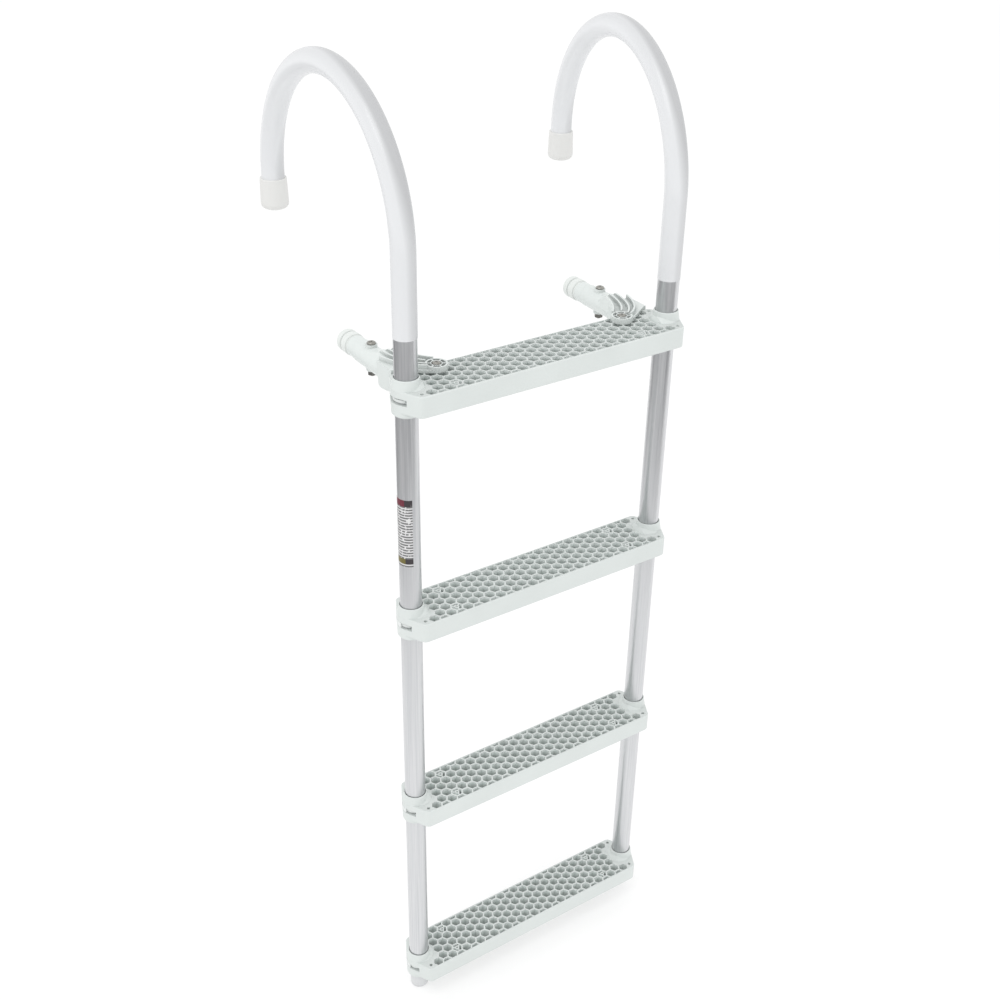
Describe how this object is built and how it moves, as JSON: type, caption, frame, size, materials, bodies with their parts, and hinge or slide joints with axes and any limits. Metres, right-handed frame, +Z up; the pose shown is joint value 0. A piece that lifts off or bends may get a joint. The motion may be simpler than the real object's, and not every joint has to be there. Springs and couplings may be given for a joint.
{
  "type": "boat boarding ladder",
  "caption": "Hook-over boat boarding ladder: bent tube rails with sleeved hooks, honeycomb plastic steps and swivelling standoff arms.",
  "frame": {"origin": "midway between the two rails, straight below the crown of a square-on hook, at the underside of the hook's sleeve, which is the line that hangs on the gunwale", "axes": "+X towards the right of a climber who faces the boat, +Y over the gunwale into the boat, +Z up along the rails"},
  "size_m": [0.437, 0.3483, 1.1966],
  "materials": {
    "step_plastic": "UV-stable moulded plastic, pale mint white, fine satin grain",
    "clip_plastic": "smooth white moulded plastic",
    "anodised_tube": "satin clear-anodised drawn tube with faint lengthwise lines",
    "sleeve_vinyl": "glossy white soft vinyl sleeve",
    "cap_vinyl": "warm off-white dipped vinyl, satin",
    "plug_plastic": "light grey moulded plastic",
    "label_film": "printed film with plain colour bars and no lettering",
    "stainless": "stainless steel, machined",
    "standoff_plastic": "UV-stable moulded plastic, pale mint white",
    "bumper_plastic": "slightly soft moulded plastic, off-white"
  },
  "bodies": {
    "root": {"step_1": "step_plastic", "step_2": "step_plastic", "step_3": "step_plastic", "step_4": "step_plastic", "left_collar_clips": "clip_plastic", "right_collar_clips": "clip_plastic", "left_pivot_screw": "stainless", "right_pivot_screw": "stainless", "left_pivot_washer": "stainless", "right_pivot_washer": "stainless"},
    "left_rail": {"left_rail_tube": "anodised_tube", "left_hook_sleeve": "sleeve_vinyl", "left_hook_cap": "cap_vinyl", "left_foot_plug": "plug_plastic", "rail_label": "label_film"},
    "right_rail": {"right_rail_tube": "anodised_tube", "right_hook_sleeve": "sleeve_vinyl", "right_hook_cap": "cap_vinyl", "right_foot_plug": "plug_plastic"},
    "left_standoff": {"left_standoff_bracket": "standoff_plastic", "left_standoff_bumper": "bumper_plastic", "left_standoff_bolt": "stainless", "left_standoff_nut": "stainless"},
    "right_standoff": {"right_standoff_bracket": "standoff_plastic", "right_standoff_bumper": "bumper_plastic", "right_standoff_bolt": "stainless", "right_standoff_nut": "stainless"}
  },
  "joints": [
    {"name": "left_hook_swivel", "type": "hinge", "parent": "root", "child": "left_rail", "pos_m": [-0.1725, -0.1497, -0.1368], "axis": [0, 0, 1], "range_deg": [-28.5, 91.5]},
    {"name": "right_hook_swivel", "type": "hinge", "parent": "root", "child": "right_rail", "pos_m": [0.1725, -0.1497, -0.1368], "axis": [0, 0, -1], "range_deg": [-41.5, 78.5]},
    {"name": "left_standoff_swivel", "type": "hinge", "parent": "root", "child": "left_standoff", "pos_m": [-0.12384, -0.1302, -0.2768], "axis": [0, 0, -1], "range_deg": [0, 65]},
    {"name": "right_standoff_swivel", "type": "hinge", "parent": "root", "child": "right_standoff", "pos_m": [0.12384, -0.1302, -0.2768], "axis": [0, 0, 1], "range_deg": [0, 65]}
  ]
}
